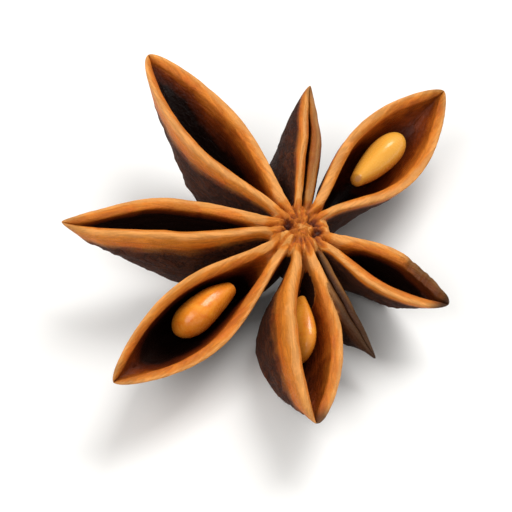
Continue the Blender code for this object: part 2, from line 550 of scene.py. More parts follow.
@dataclass(frozen=True)
class Core:
    """The turned core, from its top down to the broken end of the stem.

    under_rims and stem_end are heights between which its colour and its broken end set in. crest_span is the
    distance from a crest that its top is coloured by, and how much that grows below.
    """

    profile: tuple[Point, ...] = (
        (0.0, -0.16), (0.5, -0.08), (1.0, 0.0), (1.5, -0.04), (2.0, -0.22), (2.4, -0.7),
        (2.4, -1.3), (2.2, -2.2), (2.05, -3.2), (1.7, -4.5), (1.25, -4.9), (0.95, -5.1),
        (0.88, -5.5), (0.82, -5.9), (0.6, -6.0), (0.0, -5.8),
    )
    turns: int = 96
    smoothing: int = 3
    lump: float = 0.1
    fibre: float = 0.12
    lump_scale: Triple = (1.4, 1.4, 0.6)
    fibre_scale: Triple = (4.5, 4.5, 0.4)
    under_rims: Point = (-0.6, -1.6)
    stem_end: Point = (-5.0, -5.8)
    flow_scale: float = 0.4
    flow_apart: float = 60.0
    crest_span: Point = (0.5, 2.4)
    fade: float = 0.35

    def shell(self) -> bmesh.types.BMesh:
        """Turns the core, with lumps and with fibres at its broken end.

        Returns:
            A closed bmesh in the pod's frame, in millimetres, with the layers flow, crest and fresh.
        """
        turned = bmesh.new()
        flow = turned.verts.layers.float_vector.new(Trait.FLOW.value)
        crest = turned.verts.layers.float.new(Trait.CREST.value)
        fresh_and_lit = turned.verts.layers.float.new(Trait.FRESH_AND_LIT.value)
        profile = [turned.verts.new((radius, 0.0, height)) for radius, height in self.profile]
        edges = [turned.edges.new(pair) for pair in zip(profile, profile[1:])]
        bmesh.ops.subdivide_edges(turned, edges=edges, cuts=2)
        bmesh.ops.spin(turned, geom=turned.verts[:] + turned.edges[:], axis=(0.0, 0.0, 1.0),
                       cent=(0.0, 0.0, 0.0), steps=self.turns, angle=2.0 * math.pi, use_merge=True)
        sewn(turned)
        smoothed(turned, turned.verts[:], self.smoothing)
        turned.normal_update()
        for vert in turned.verts:
            x, y, z = vert.co
            below = smooth_step(*self.under_rims, z)
            broken = smooth_step(*self.stem_end, z)
            lumps = noise.noise(stretched(vert.co, self.lump_scale))
            fibres = noise.noise(stretched(vert.co, self.fibre_scale))
            vert[flow] = Vector((self.flow_scale * z - self.flow_apart, x, y))
            vert[crest] = self.crest_span[0] + self.crest_span[1] * below
            vert[fresh_and_lit] = 1.0 - self.fade * below
            vert.co += (self.lump * lumps + self.fibre * broken * fibres) * vert.normal
        return turned


def sewn(solid: bmesh.types.BMesh, same_point: float = 0.0005) -> None:
    """Merges a bmesh's doubles, closes its holes and turns its faces outwards.

    Args:
        solid: the bmesh to close.
        same_point: how near two vertices are to be one, in millimetres.
    """
    bmesh.ops.remove_doubles(solid, verts=solid.verts, dist=same_point)
    bmesh.ops.holes_fill(solid, edges=solid.edges)
    bmesh.ops.triangulate(solid, faces=[face for face in solid.faces if len(face.verts) > 4])
    bmesh.ops.recalc_face_normals(solid, faces=solid.faces)


def smoothed(solid: bmesh.types.BMesh, verts: list[bmesh.types.BMVert], rounds: int) -> None:
    """Moves vertices halfway to their neighbours' middle.

    Args:
        solid: the bmesh that they belong to.
        verts: the vertices that move.
        rounds: how often they do.
    """
    for _ in range(rounds):
        bmesh.ops.smooth_vert(solid, verts=verts, factor=0.5, use_axis_x=True, use_axis_y=True,
                              use_axis_z=True)


def eased(mesh: bpy.types.Mesh, values: np.ndarray, rounds: int) -> np.ndarray:
    """Evens out one value of every point with its neighbours'.

    Args:
        mesh: the mesh that the points belong to.
        values: one value for each point.
        rounds: how often each value moves halfway to its neighbours' mean.

    Returns:
        The evened values.
    """
    ends = np.empty(2 * len(mesh.edges), dtype=np.int32)
    mesh.edges.foreach_get("vertices", ends)
    pairs = np.concatenate([ends, ends.reshape(-1, 2)[:, ::-1].ravel()]).reshape(-1, 2)
    count = np.maximum(np.bincount(pairs[:, 0], minlength=len(values)), 1)
    for _ in range(rounds):
        means = np.bincount(pairs[:, 0], weights=values[pairs[:, 1]], minlength=len(values)) / count
        values = 0.5 * (values + means)
    return values.astype(np.float32)


def as_object(solid: bmesh.types.BMesh, name: str) -> bpy.types.Object:
    """Turns a bmesh into an object, and frees it.

    Args:
        solid: the finished bmesh.
        name: the name of the object and of its mesh.

    Returns:
        The object, linked to the scene.
    """
    mesh = bpy.data.meshes.new(name)
    solid.to_mesh(mesh)
    solid.free()
    made = bpy.data.objects.new(name, mesh)
    bpy.context.scene.collection.objects.link(made)
    return made


def carry(piece: bpy.types.Object, node: str, material: bpy.types.Material) -> None:
    """Dresses a piece, lets it ride on the one body and stands it for its node.

    Args:
        piece: the finished object.
        node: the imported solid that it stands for.
        material: its finish.
    """
    piece.data.materials.clear()
    piece.data.materials.append(material)
    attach(piece, "root")
    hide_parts(node)
    LOG.info("%s: %d faces, for node %s", piece.name, len(piece.data.polygons), node)


@dataclass
class Pod:
    """The woody pod: its follicles fused round the core, with the hub worked over."""

    follicles: tuple[Follicle, ...]
    stance: Stance = field(default_factory=Stance)
    core: Core = field(default_factory=Core)
    pits: tuple[Pit, ...] = (
        Pit(-0.9, 0.0, 0.42, 0.42), Pit(1.35, -0.45, 0.42, 0.45), Pit(1.0, 0.5, 0.36, 0.35),
        Pit(-0.1, -1.15, 0.36, 0.2), Pit(-0.4, 0.95, 0.3, 0.14), Pit(0.15, 0.3, 0.22, 0.16),
    )
    pit_shade: float = 4.6
    pit_ragged: float = 0.9
    pit_most: float = 1.2
    hub_warmth: float = 0.5
    crease_depth: float = 0.2
    crease_width: float = 0.13
    crease_from: Point = (0.5, 1.1)
    crease_shade: float = 0.8
    hub_reach: float = 3.3
    hub_depth: float = 1.3
    hub_smoothing: int = 6
    hub_lump: float = 0.22
    rough_scale: float = 1.5
    rough_height: float = 5.0
    rough_detail: tuple[float, float, int] = (0.8, 2.2, 3)
    sliver: float = 0.0005
    joint_gap: float = 0.0001
    joint_rounds: int = 8
    crest_smoothing: int = 1
    fresh_and_lit_smoothing: int = 4
    ridge_scale: float = 0.3
    ridge_smoothing: int = 3
    least_spread: float = 0.05

    def build(self) -> bpy.types.Object:
        """Fuses the shells, works the hub and settles the pod on the table.

        Returns:
            The pod as one object, with the traits that its finish reads.
        """
        core = as_object(self.core.shell(), "star_anise_pod")
        shells = [as_object(follicle.shell(number), follicle.name)
                  for number, follicle in enumerate(self.follicles)]
        sources = self.traits_of([core, *shells])
        self.fuse(core, shells)
        self.give_traits(core.data, sources)
        solid = bmesh.new()
        solid.from_mesh(core.data)
        bmesh.ops.dissolve_degenerate(solid, edges=solid.edges, dist=self.sliver)
        self.work_hub(solid)
        for vert in solid.verts:
            vert.co = self.stance.on_table(vert.co)
            vert.co.z = max(0.0, vert.co.z)
        solid.to_mesh(core.data)
        solid.free()
        self.mark_ridges(core.data)
        core.data.shade_smooth()
        return core

    def dress(self, piece: bpy.types.Object, husk: bpy.types.Material) -> None:
        """Gives the pod its husk and lets it stand for its solid."""
        carry(piece, "pod", husk)

    @staticmethod
    def traits_of(shells: list[bpy.types.Object]) -> tuple[KDTree, np.ndarray]:
        """The traits of every point of the shells, before they are fused.

        Args:
            shells: the objects that will be fused.

        Returns:
            A tree of the points, and one row of flow, crest and fresh for each.
        """
        rows = []
        for shell in shells:
            mesh = shell.data
            flow = np.empty(3 * len(mesh.vertices), dtype=np.float32)
            mesh.attributes[Trait.FLOW.value].data.foreach_get("vector", flow)
            columns = [flow.reshape(-1, 3)]
            for trait in (Trait.CREST, Trait.FRESH_AND_LIT):
                values = np.empty(len(mesh.vertices), dtype=np.float32)
                mesh.attributes[trait.value].data.foreach_get("value", values)
                columns.append(values.reshape(-1, 1))
            rows.append(np.hstack(columns))
        tree = KDTree(sum(len(each) for each in rows))
        for index, vertex in enumerate(vertex for shell in shells for vertex in shell.data.vertices):
            tree.insert(vertex.co, index)
        tree.balance()
        return tree, np.vstack(rows)

    def give_traits(self, mesh: bpy.types.Mesh, sources: tuple[KDTree, np.ndarray]) -> None:
        """Gives the fused mesh the shells' traits; a point on a joint takes what its neighbours have.

        Args:
            mesh: the fused mesh.
            sources: the tree and the rows that traits_of gave.
        """
        tree, rows = sources
        found = [tree.find(vertex.co) for vertex in mesh.vertices]
        nearest = rows[[index for _, index, _ in found]]
        joint = np.array([distance for _, _, distance in found]) > self.joint_gap
        for column in (3, 4):
            for _ in range(self.joint_rounds):
                around = 2.0 * eased(mesh, nearest[:, column], 1) - nearest[:, column]
                nearest[joint, column] = around[joint]
        for trait in (Trait.FLOW, Trait.CREST, Trait.FRESH_AND_LIT):
            stale = mesh.attributes.get(trait.value)
            if stale:
                mesh.attributes.remove(stale)
        flow = mesh.attributes.new(Trait.FLOW.value, "FLOAT_VECTOR", "POINT")
        flow.data.foreach_set("vector", nearest[:, :3].ravel())
        eases = ((Trait.CREST, 3, self.crest_smoothing), (Trait.FRESH_AND_LIT, 4, self.fresh_and_lit_smoothing))
        for trait, column, rounds in eases:
            values = mesh.attributes.new(trait.value, "FLOAT", "POINT")
            values.data.foreach_set("value", eased(mesh, nearest[:, column], rounds))

    @staticmethod
    def fuse(core: bpy.types.Object, shells: list[bpy.types.Object]) -> None:
        """Joins the follicles' shells to the core by one union, and removes them.

        Args:
            core: the object that becomes the whole.
            shells: the objects that are joined to it.
        """
        cutters = bpy.data.collections.new("follicles")
        for shell in shells:
            cutters.objects.link(shell)
        union = core.modifiers.new("union", "BOOLEAN")
        union.operation = "UNION"
        union.operand_type = "COLLECTION"
        union.collection = cutters
        union.solver = "MANIFOLD"
        fused = bpy.data.meshes.new_from_object(core.evaluated_get(bpy.context.evaluated_depsgraph_get()))
        core.modifiers.clear()
        core.data = fused
        for shell in shells:
            bpy.data.objects.remove(shell)
        bpy.data.collections.remove(cutters)

    def work_hub(self, solid: bmesh.types.BMesh) -> None:
        """Melts the rims together round the axis, sinks the creases and pits, and paints shade into them.

        Args:
            solid: the fused pod, in the pod's frame.
        """
        crest = solid.verts.layers.float[Trait.CREST.value]
        hub = [vert for vert in solid.verts
               if math.hypot(vert.co.x, vert.co.y) < self.hub_reach and vert.co.z > -self.hub_depth]
        smoothed(solid, hub, self.hub_smoothing)
        creases = self.crease_directions()
        for vert in hub:
            x, y, _ = vert.co
            apart = math.hypot(x, y)
            inside = 1.0 - smooth_step(0.5 * self.hub_reach, self.hub_reach, apart)
            spot = Vector((self.rough_scale * x, self.rough_scale * y, self.rough_height))
            rough = noise.fractal(spot, *self.rough_detail)
            aside = min(abs(x * way.y - y * way.x) for way in creases if x * way.x + y * way.y > 0.0)
            crease = math.exp(-((aside / self.crease_width) ** 2)) * inside
            crease *= smooth_step(*self.crease_from, apart)
            vert.co.z += self.hub_lump * inside * rough - self.crease_depth * crease
            # Painted shade in the creases, and a warmer tone over the hub.
            vert[crest] -= self.crease_shade * crease + self.hub_warmth * inside
            for pit in self.pits:
                out = math.hypot(x - pit.x, y - pit.y) / pit.radius + self.pit_ragged * rough
                sunk = min(self.pit_most, math.exp(-out * abs(out)))
                vert.co.z -= pit.depth * sunk
                # Painted shade in the pits.
                vert[crest] -= self.pit_shade * pit.depth * sunk

    def crease_directions(self) -> list[Vector]:
        """Finds the ways of the creases round the hub: along each follicle and between each two.

        Returns:
            One vector of length 1 for each crease, in the plane of the mouths.
        """
        azimuths = sorted(follicle.azimuth for follicle in self.follicles)
        between = [0.5 * (a + b) for a, b in zip(azimuths, azimuths[1:] + [azimuths[0] + 360.0])]
        return [Vector((math.cos(math.radians(a)), math.sin(math.radians(a)))) for a in azimuths + between]

    def mark_ridges(self, mesh: bpy.types.Mesh) -> None:
        """Stores how far each point stands out of its neighbours, for the rubbed ridges and the painted shade
        in hollows.

        Args:
            mesh: the pod's finished mesh, which gets the trait.
        """
        places = np.empty(3 * len(mesh.vertices), dtype=np.float32)
        mesh.vertices.foreach_get("co", places)
        normals = np.empty(3 * len(mesh.vertices), dtype=np.float32)
        mesh.vertex_normals.foreach_get("vector", normals)
        places, normals = places.reshape(-1, 3), normals.reshape(-1, 3)
        middles = np.stack([2.0 * eased(mesh, column, 1) - column for column in places.T], axis=1)
        spread = np.linalg.norm(places - middles, axis=1).mean() + self.least_spread * MM
        height = self.ridge_scale * ((places - middles) * normals).sum(axis=1) / spread
        ridge = mesh.attributes.new(Trait.RIDGE.value, "FLOAT", "POINT")
        ridge.data.foreach_set("value", eased(mesh, height, self.ridge_smoothing))


@dataclass(frozen=True)
class Seed:
    """One egg-shaped seed on edge in its follicle: how far out, how far aside and how deep it lies.

    ripeness is how golden its coat is, from 0 to 1. cut is where its held end turns blunt, and cut_dome how
    far that end still bulges. The seam and the scar are placed on a ball of radius 1 before it is drawn out.
    """

    name: str
    follicle: Follicle
    out: float
    aside: float
    sunk: float
    half_thickness: float
    ripeness: float
    half_length: float = 2.9
    half_depth: float = 1.75
    taper: float = 0.3
    seam: float = 0.035
    seam_width: float = 0.1
    seam_from: Point = (-1.0, 0.2)
    dimple: float = 0.05
    dimple_scale: float = 1.3
    dimple_apart: float = 9.0
    scar_at: Triple = (-0.93, 0.0, 0.36)
    scar_reach: float = 0.42
    flow_apart: float = 7.0
    cut: float = 0.8
    cut_dome: float = 0.35
    fineness: int = 6

    def build(self, stance: Stance) -> bpy.types.Object:
        """Shapes the seed, with its seam, its soft dents and its scar.

        Args:
            stance: how the pod lies, which carries the seed to the table.

        Returns:
            The seed as an object, with the traits that its finish reads.
        """
        egg = bmesh.new()
        bmesh.ops.create_icosphere(egg, subdivisions=self.fineness, radius=1.0)
        flow = egg.verts.layers.float_vector.new(Trait.FLOW.value)
        scar = egg.verts.layers.float.new(Trait.SCAR.value)
        ripe = egg.verts.layers.float.new(Trait.RIPE.value)
        husk = self.follicle.husk
        for vert in egg.verts:
            x, y, z = vert.co
            taper = 1.0 + self.taper * x
            often = self.dimple_scale
            spot = Vector((often * x, often * y, often * z + self.dimple_apart * self.out))
            dents = 1.0 + self.dimple * noise.noise(spot)
            edge = math.exp(-((y / self.seam_width) ** 2))
            keeled = 1.0 + self.seam * edge * smooth_step(*self.seam_from, -z)
            across = self.aside + self.half_thickness * taper * y * dents
            up = self.half_depth * taper * z * dents * keeled - self.sunk
            along = self.half_length * self.blunted(x)
            share = (self.out + along - husk.start) / (self.follicle.length - husk.start)
            reach = math.dist((x, y, z), self.scar_at) / self.scar_reach
            beside, over = self.half_thickness * y, self.half_depth * z
            vert[flow] = Vector((along + self.flow_apart * self.out, beside, over))
            vert[scar] = max(0.0, 1.0 - reach)
            vert[ripe] = self.ripeness
            vert.co = stance.on_table(self.follicle.place(share, across, up))
        made = as_object(egg, self.name + "_piece")
        made.data.shade_smooth()
        return made

    def blunted(self, x: float) -> float:
        """Flattens the end that the seed was held by.

        Args:
            x: a place along the seed, from -1 at that end to 1.

        Returns:
            The place along the blunt seed, also from -1 to 1.
        """
        if x > 0.0:
            return x
        flat = self.cut + self.cut_dome * max(0.0, -x - self.cut)
        return -min(-x, flat) / (self.cut + self.cut_dome * (1.0 - self.cut))

    def dress(self, piece: bpy.types.Object, coat: bpy.types.Material) -> None:
        """Gives the seed its coat and lets it stand for its solid."""
        carry(piece, self.name, coat)


def linear(colour: Colour) -> tuple[float, float, float, float]:
    """A colour of 0 to 255 as the shader's linear values."""
    shares = [value / 255.0 for value in colour]
    return (*(s / 12.92 if s <= 0.04045 else ((s + 0.055) / 1.055) ** 2.4 for s in shares), 1.0)


@dataclass(frozen=True)
class Mottle:
    """One random pattern: its octaves, how rough they are and how far they are bent."""

    detail: float
    roughness: float
    distortion: float = 0.0


class Tree:
    """A node tree that is built by short calls."""

    def __init__(self, tree: bpy.types.NodeTree) -> None:
        """Wraps a tree."""
        self.tree = tree

    def add(self, kind: str, inputs: dict | None = None, **settings: object) -> bpy.types.Node:
        """Adds one node.

        Args:
            kind: the node's type.
            inputs: for each socket's name or number, a value, or another node's socket to link.
            settings: the node's own properties.

        Returns:
            The node.
        """
        node = self.tree.nodes.new(kind)
        for name, value in settings.items():
            setattr(node, name, value)
        for name, value in (inputs or {}).items():
            if isinstance(value, bpy.types.NodeSocket):
                self.tree.links.new(value, node.inputs[name])
            else:
                node.inputs[name].default_value = value
        return node

    def maths(self, operation: str, *values: object, clamp: bool = False) -> bpy.types.NodeSocket:
        """The result of one Math node."""
        node = self.add("ShaderNodeMath", dict(enumerate(values)), operation=operation, use_clamp=clamp)
        return node.outputs[0]

    def ramp(self, value: bpy.types.NodeSocket, low: float, high: float, to_low: float = 0.0,
             to_high: float = 1.0) -> bpy.types.NodeSocket:
        """The value mapped smoothly from one range to another."""
        spans = {"Value": value, "From Min": low, "From Max": high, "To Min": to_low, "To Max": to_high}
        return self.add("ShaderNodeMapRange", spans, interpolation_type="SMOOTHSTEP").outputs[0]

    def mix(self, share: object, first: object, second: object, blend: str = "MIX") -> bpy.types.NodeSocket:
        """Two colours mixed by a share."""
        inputs = {0: share, 6: first, 7: second}
        return self.add("ShaderNodeMix", inputs, data_type="RGBA", blend_type=blend).outputs[2]

    def mottled(self, place: bpy.types.NodeSocket, scale: object, pattern: Mottle) -> bpy.types.NodeSocket:
        """Reads a random pattern at a place.

        Args:
            place: the place.
            scale: how fine the pattern is, as a number or another node's socket.
            pattern: the pattern's other values.

        Returns:
            The value, from 0 to 1.
        """
        inputs = {"Vector": place, "Scale": scale, "Detail": pattern.detail,
                  "Roughness": pattern.roughness, "Distortion": pattern.distortion}
        return self.add("ShaderNodeTexNoise", inputs).outputs[0]

    def grain(self, group: bpy.types.NodeTree, values: Triple) -> dict[str, bpy.types.NodeSocket]:
        """Places the grain in a material, along the piece's own flow.

        Args:
            group: the shared node group.
            values: its Length, Width and Speck Size in this material.

        Returns:
            Its outputs by their names.
        """
        node = self.add("ShaderNodeGroup", node_tree=group)
        self.tree.links.new(self.trait(Trait.FLOW).outputs["Vector"], node.inputs["Flow"])
        for name, value in zip(GRAIN_INPUTS, values):
            node.inputs[name].default_value = value
        return {name: node.outputs[name] for name in GRAIN_OUTPUTS}

    def bump(self, height: bpy.types.NodeSocket, strength: float, depth: float) -> bpy.types.NodeSocket:
        """The normals of a fine relief."""
        inputs = {"Height": height, "Strength": strength, "Distance": depth}
        return self.add("ShaderNodeBump", inputs).outputs[0]

    def dimmed(self, colour: bpy.types.NodeSocket, light: bpy.types.NodeSocket,
               strength: float = 1.0) -> bpy.types.NodeSocket:
        """A colour multiplied by a light of 0 to 1, as far as the strength says."""
        grey = self.add("ShaderNodeCombineXYZ", {0: light, 1: light, 2: light}).outputs[0]
        return self.mix(strength, colour, grey, "MULTIPLY")

    def bands(self, value: bpy.types.NodeSocket, stops: list[tuple[float, Colour]]) -> bpy.types.NodeSocket:
        """Makes a colour ramp.

        Args:
            value: what sets the place on the ramp, from 0 to 1.
            stops: the ramp's colours, each with its place.

        Returns:
            The colour.
        """
        node = self.add("ShaderNodeValToRGB", {0: value})
        ramp = node.color_ramp
        ramp.interpolation = "EASE"
        while len(ramp.elements) < len(stops):
            ramp.elements.new(0.5)
        for element, (position, colour) in zip(ramp.elements, stops):
            element.position = position
            element.color = linear(colour)
        return node.outputs[0]

    def trait(self, trait: Trait) -> bpy.types.Node:
        """The node that reads one trait off the mesh."""
        return self.add("ShaderNodeAttribute", attribute_name=trait.value, attribute_type="GEOMETRY")


def bare_material(name: str) -> tuple[bpy.types.Material, Tree, bpy.types.Node]:
    """Makes a material that isn't finished yet.

    Args:
        name: its name.

    Returns:
        The material, its nodes and its shader.
    """
    made = bpy.data.materials.new(name)
    made.use_nodes = True
    return made, Tree(made.node_tree), made.node_tree.nodes["Principled BSDF"]


@dataclass(frozen=True)
class Grain:
    """The fibres, blotches, specks and cracks that run along a piece."""

    fibre: Mottle = Mottle(detail=4.0, roughness=0.6, distortion=0.6)
    blotch: Mottle = Mottle(detail=5.0, roughness=0.55, distortion=0.8)
    blotch_scale: float = 0.55
    speck: Mottle = Mottle(detail=2.0, roughness=0.5)
    folds: Mottle = Mottle(detail=4.0, roughness=0.6, distortion=0.5)
    folds_scale: Triple = (0.75, 1.5, 1.5)
    usual: Triple = (0.35, 4.0, 9.0)
    spread: Point = (0.3, 0.7)
    crack_sharpness: float = 12.0

    def group(self) -> bpy.types.NodeTree:
        """Builds the shared node group.

        Returns:
            A group that takes Flow, Length, Width and Speck Size, and puts out Fibre, Blotch, Speck and
            Crack, each from 0 to 1.
        """
        group = bpy.data.node_groups.new("plant_grain", "ShaderNodeTree")
        socket = group.interface.new_socket
        socket("Flow", in_out="INPUT", socket_type="NodeSocketVector")
        for name, value in zip(GRAIN_INPUTS, self.usual):
            socket(name, in_out="INPUT", socket_type="NodeSocketFloat").default_value = value
        for name in GRAIN_OUTPUTS:
            socket(name, in_out="OUTPUT", socket_type="NodeSocketFloat")
        tree = Tree(group)
        given = tree.add("NodeGroupInput")
        put = tree.add("NodeGroupOutput")
        flow, length, width, size = (given.outputs[name] for name in ("Flow", *GRAIN_INPUTS))
        stretch = tree.add("ShaderNodeCombineXYZ", {0: length, 1: width, 2: width}).outputs[0]
        run = tree.add("ShaderNodeVectorMath", {0: flow, 1: stretch}, operation="MULTIPLY").outputs[0]
        fibre = tree.mottled(run, 1.0, self.fibre)
        blotch = tree.mottled(flow, self.blotch_scale, self.blotch)
        speck = tree.mottled(flow, size, self.speck)
        for name, value in zip(GRAIN_OUTPUTS, (fibre, blotch, speck)):
            group.links.new(tree.ramp(value, *self.spread), put.inputs[name])
        drawn = tree.add("ShaderNodeVectorMath", {0: flow, 1: self.folds_scale}, operation="MULTIPLY")
        folds = tree.mottled(drawn.outputs[0], 1.0, self.folds)
        apart = tree.maths("ABSOLUTE", tree.maths("SUBTRACT", folds, 0.5))
        crack = tree.maths("MULTIPLY_ADD", apart, -self.crack_sharpness, 1.0, clamp=True)
        group.links.new(crack, put.inputs["Crack"])
        return group


@dataclass(frozen=True)
class WoodFinish:
    """The dried husk: colours by the distance from the rim's crest, with painted shade down the cavity, and
    how each zone shines.

    grain is the pattern's Length, Width and Speck Size. outside and inside are the distances from the crest
    over which the walls begin. fibre_light is how light the fibres are left, hollow_light and crack_light how
    light the painted shade in the hollows and the cracks leaves them, and relief is how high a fibre, a speck
    and a crack stand.
    """

    # From cavity to warm_wall the inner wall darkens towards the cavity's floor: partly the wall's own darker
    # brown, partly painted shade; lit_wall is a painted lit tone of the wall.
    cavity: Colour = (26, 10, 5)
    deep_wall_shade: Colour = (78, 29, 8)
    lit_wall: Colour = (112, 46, 9)
    warm_wall: Colour = (162, 78, 18)
    rim_inside: Colour = (192, 98, 28)
    crest: Colour = (222, 150, 80)
    rim_outside: Colour = (206, 116, 34)
    shoulder: Colour = (188, 92, 18)
    flank: Colour = (104, 45, 13)
    keel: Colour = (66, 28, 9)
    bloom: Colour = (106, 58, 26)
    # A dull dark brown for weathering and for painted shade on walls that lie in shadow.
    weathered_and_shaded: Colour = (35, 17, 8)
    golden: Colour = (216, 144, 50)
    reach: float = 5.0
    wander: float = 0.5
    lip_wander: float = 0.12
    specular: float = 0.16
    grain: Triple = (0.5, 3.2, 7.0)
    outside: Point = (0.8, 2.2)
    inside: Point = (-0.5, -1.6)
    gilt: float = 0.3
    fibre_light: Point = (0.76, 1.1)
    fibre_strength: float = 0.8
    dust: float = 0.4
    dusty_specks: Point = (0.35, 0.9)
    dusty_blotches: Point = (0.2, 0.8)
    rubbed: float = 0.5
    rubbed_ridges: Point = (0.05, 0.4)
    # Painted shade in the hollows, by how far a point sinks below its neighbours.
    hollows: Point = (-0.05, -0.45)
    hollow_light: float = 0.45
    crack_light: float = 0.5
    roughness: float = 0.42
    outer_roughness: float = 0.26
    inner_roughness: float = -0.12
    speck_roughness: float = 0.14
    inner_gloss: float = 0.06
    gloss_roughness: float = 0.25
    relief: Triple = (0.7, 0.3, -1.1)
    relief_strength: float = 0.55
    relief_depth: float = 0.00012

    def stops(self) -> list[tuple[float, Colour]]:
        """Lists the colour bands from the cavity's floor over the rim's crest to the keel, the inner ones
        darkened as painted shade.

        Returns:
            Each colour with its place on the ramp, from 0 to 1.
        """
        bands = ((-3.0, self.cavity), (-2.3, self.deep_wall_shade), (-1.6, self.lit_wall), (-0.95, self.warm_wall),
                 (-0.55, self.rim_inside), (-0.3, self.rim_outside), (-0.12, self.crest), (0.08, self.crest),
                 (0.35, self.rim_outside), (0.75, self.shoulder), (1.25, self.flank), (2.2, self.keel))
        return [(0.5 + 0.5 * distance / self.reach, colour) for distance, colour in bands]

    def masks(self, tree: Tree, grain: bpy.types.NodeTree) -> dict[str, bpy.types.NodeSocket]:
        """Gathers what the husk's colours and its shine are mixed by.

        Args:
            tree: the material's nodes.
            grain: the shared node group.

        Returns:
            The grain's outputs, the mesh's traits, and Outer, Inner and Cracked for the two walls and the
            cracks of the outer one.
        """
        found = tree.grain(grain, self.grain)
        for trait in (Trait.CREST, Trait.FRESH_AND_LIT, Trait.RIDGE):
            found[trait.value] = tree.trait(trait).outputs["Fac"]
        found["Outer"] = tree.ramp(found["crest"], *self.outside)
        found["Inner"] = tree.ramp(found["crest"], *self.inside)
        found["Cracked"] = tree.maths("MULTIPLY", found["Crack"], found["Outer"])
        return found

    def colour(self, tree: Tree, masks: dict[str, bpy.types.NodeSocket]) -> bpy.types.NodeSocket:
        """Mixes the husk's colour.

        Args:
            tree: the material's nodes.
            masks: what masks gave.

        Returns:
            The colour.
        """
        outer, blotch, ridge = masks["Outer"], masks["Blotch"], masks["ridge"]
        wall = tree.maths("MAXIMUM", outer, masks["Inner"])
        stray = tree.ramp(wall, 0.0, 1.0, self.lip_wander, self.wander)
        strayed = tree.maths("MULTIPLY_ADD", tree.maths("SUBTRACT", blotch, 0.5), stray, masks["crest"])
        place = tree.maths("MULTIPLY_ADD", strayed, 0.5 / self.reach, 0.5, clamp=True)
        colour = tree.bands(place, self.stops())
        lip = tree.maths("SUBTRACT", 1.0, wall, clamp=True)
        gilt = tree.maths("MULTIPLY", tree.maths("MULTIPLY", lip, blotch), self.gilt)
        colour = tree.mix(gilt, colour, linear(self.golden))
        light = tree.ramp(masks["Fibre"], 0.0, 1.0, *self.fibre_light)
        colour = tree.dimmed(colour, light, self.fibre_strength)
        dust = tree.maths("MULTIPLY", outer, tree.ramp(masks["Speck"], *self.dusty_specks))
        dust = tree.maths("MULTIPLY", dust, self.dust)
        dust = tree.maths("MULTIPLY", dust, tree.ramp(blotch, *self.dusty_blotches))
        colour = tree.mix(dust, colour, linear(self.bloom))
        rubbed = tree.maths("MULTIPLY", tree.ramp(ridge, *self.rubbed_ridges),
                            tree.maths("MULTIPLY", outer, self.rubbed))
        colour = tree.mix(rubbed, colour, linear(self.shoulder))
        # Painted shade darkens the hollows.
        colour = tree.dimmed(colour, tree.ramp(ridge, *self.hollows, 1.0, self.hollow_light))
        # Painted shade darkens the cracks of the outer wall.
        colour = tree.dimmed(colour, tree.ramp(masks["Cracked"], 0.0, 1.0, 1.0, self.crack_light))
        # Darkens the dull walls: their weathering, and painted shade on walls that lie in shadow.
        dulled_and_shaded = tree.maths("SUBTRACT", 1.0, masks["fresh_and_lit"], clamp=True)
        return tree.mix(dulled_and_shaded, colour, linear(self.weathered_and_shaded))

    def material(self, grain: bpy.types.NodeTree) -> bpy.types.Material:
        """The husk's material.

        Args:
            grain: the shared node group.

        Returns:
            A material that reads the pod's traits.
        """
        made, tree, shader = bare_material("husk")
        masks = self.masks(tree, grain)
        tree.tree.links.new(self.colour(tree, masks), shader.inputs["Base Color"])
        rough = tree.maths("MULTIPLY_ADD", masks["Outer"], self.outer_roughness, self.roughness)
        rough = tree.maths("MULTIPLY_ADD", masks["Inner"], self.inner_roughness, rough)
        specks = tree.maths("MULTIPLY", masks["Speck"], self.speck_roughness)
        tree.tree.links.new(tree.maths("ADD", rough, specks, clamp=True), shader.inputs["Roughness"])
        gloss = tree.maths("MULTIPLY", masks["Inner"], self.inner_gloss)
        tree.tree.links.new(gloss, shader.inputs["Coat Weight"])
        shader.inputs["Coat Roughness"].default_value = self.gloss_roughness
        shader.inputs["Specular IOR Level"].default_value = self.specular
        fibre, speck, crack = self.relief
        height = tree.maths("ADD", tree.maths("MULTIPLY", masks["Fibre"], fibre),
                            tree.maths("MULTIPLY", masks["Speck"], speck))
        height = tree.maths("MULTIPLY_ADD", masks["Cracked"], crack, height)
        normal = tree.bump(height, self.relief_strength, self.relief_depth)
        tree.tree.links.new(normal, shader.inputs["Normal"])
        return made


